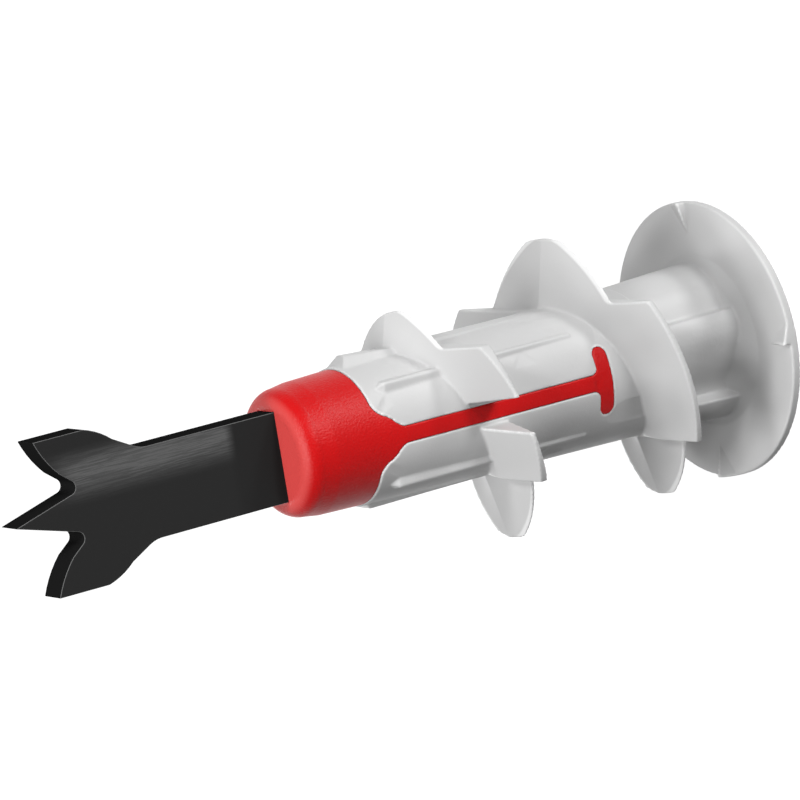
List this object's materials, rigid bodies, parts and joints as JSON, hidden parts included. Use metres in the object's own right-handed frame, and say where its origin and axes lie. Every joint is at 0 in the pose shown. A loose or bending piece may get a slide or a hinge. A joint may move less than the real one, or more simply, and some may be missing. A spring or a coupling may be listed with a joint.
{
  "type": "self-drilling plasterboard anchor",
  "caption": "Tapered moulded sleeve with a coarse cut-away thread and a flanged head, a coloured two-strip core, and a notched steel drill blade at the tip.",
  "frame": {"origin": "centre of the flange's outer face, on the anchor's axis, where it rests when it stands on its head", "axes": "+Z along the anchor's axis from the flange to the blade's tip, +X along the blade's wide direction, Y normal to the blade and across the mould's parting plane"},
  "size_m": [0.0152, 0.0152, 0.044],
  "materials": {
    "sleeve": "satin white nylon",
    "core": "red nylon with a fine moulded texture",
    "blade": "blackened steel"
  },
  "bodies": {
    "root": {"sleeve": "sleeve", "core": "core", "blade": "blade"}
  },
  "joints": []
}
